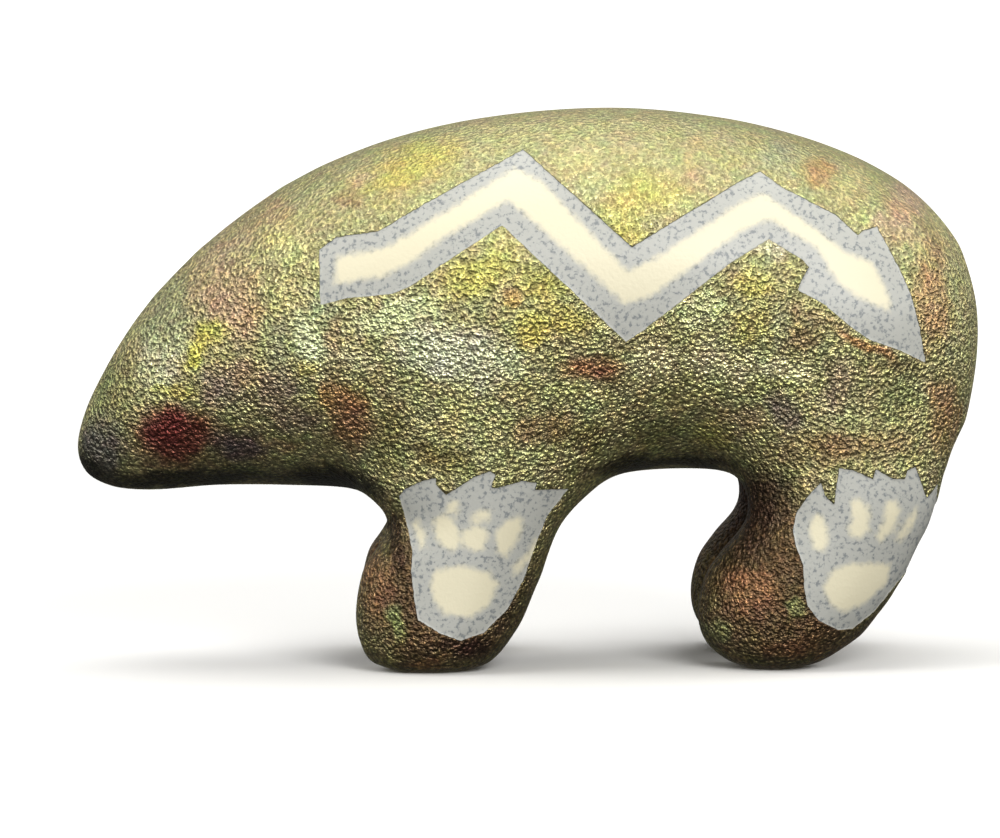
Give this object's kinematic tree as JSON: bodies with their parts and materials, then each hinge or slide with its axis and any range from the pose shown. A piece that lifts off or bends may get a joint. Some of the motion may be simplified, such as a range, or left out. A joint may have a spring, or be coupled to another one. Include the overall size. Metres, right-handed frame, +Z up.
{
  "type": "raku pottery bear figure",
  "caption": "Stylised standing bear in raku pottery: low tapering head, arched back and short legs, in mottled metallic glaze with a painted lightning band and paw marks.",
  "frame": {"origin": "on the surface the bear stands on, below the centre of its bounding box", "axes": "-X towards the nose, +Y from the bear's left side to its right side, +Z up"},
  "size_m": [0.1797, 0.0696, 0.1098],
  "materials": {
    "raku_glaze": "mottled copper and olive raku glaze with a metallic lustre and fine wrinkles, with bare cream and smoky grey crackle areas"
  },
  "bodies": {
    "root": {"bear": "raku_glaze"}
  },
  "joints": []
}
